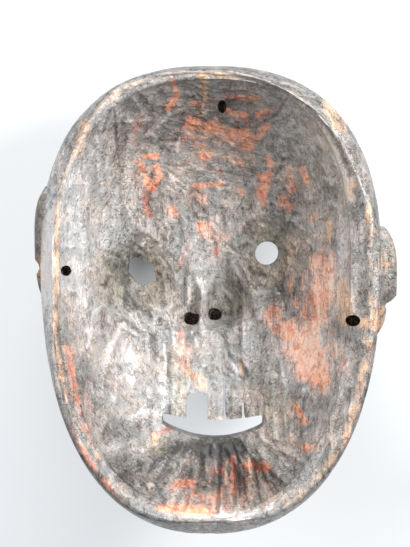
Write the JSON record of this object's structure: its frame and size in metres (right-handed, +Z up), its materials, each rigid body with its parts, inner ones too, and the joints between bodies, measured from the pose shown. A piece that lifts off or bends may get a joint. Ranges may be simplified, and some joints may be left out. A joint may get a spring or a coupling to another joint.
{
  "type": "carved wooden face mask",
  "caption": "Carved wooden face mask with a hollow back, pierced eyes, nostrils and toothed mouth, tie holes and two low ears, lying on its face.",
  "frame": {"origin": "on the surface the mask lies on, under the middle of its bounding box", "axes": "+Z up, +Y towards the crown, +X towards the wearer's right ear; the mask lies face down on its nose and brows, its rim's plane tilted 10 degrees down at the crown"},
  "size_m": [0.2178, 0.2772, 0.1126],
  "materials": {
    "wood": "dark smoked and handled wood with traces of red paint, semi-gloss in the hollow and on the rim"
  },
  "bodies": {
    "root": {"mask": "wood"}
  },
  "joints": []
}
